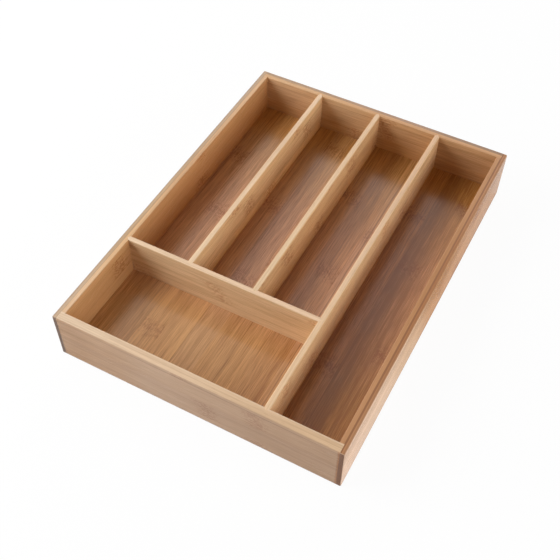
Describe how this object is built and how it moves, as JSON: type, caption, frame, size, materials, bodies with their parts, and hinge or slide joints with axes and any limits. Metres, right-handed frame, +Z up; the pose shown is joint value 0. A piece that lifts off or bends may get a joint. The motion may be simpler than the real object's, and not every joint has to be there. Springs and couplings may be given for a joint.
{
  "type": "cutlery tray",
  "caption": "Shallow open bamboo tray with rabbeted corners, a grooved-in bottom and notched dividers: one wide front compartment, narrow long ones behind it and a full-length one beside them.",
  "frame": {"origin": "on the surface that the tray rests on, under the middle of the tray", "axes": "+X along the short front wall towards the full-length compartment, +Y from the front wall to the back wall along the tray's length, +Z up"},
  "size_m": [0.26, 0.355, 0.05],
  "materials": {
    "wall_bamboo": "light bamboo board of edge-glued strips, sanded, thin satin lacquer",
    "divider_bamboo": "light bamboo board of edge-glued strips, sanded, thin satin lacquer",
    "bottom_bamboo": "caramel bamboo board of narrow strips along the tray, sanded, thin satin lacquer"
  },
  "bodies": {
    "root": {"left_side_wall": "wall_bamboo", "right_side_wall": "wall_bamboo", "front_wall": "wall_bamboo", "back_wall": "wall_bamboo", "bottom_panel": "bottom_bamboo", "long_divider": "divider_bamboo", "cross_divider": "divider_bamboo", "left_short_divider": "divider_bamboo", "middle_short_divider": "divider_bamboo"}
  },
  "joints": []
}
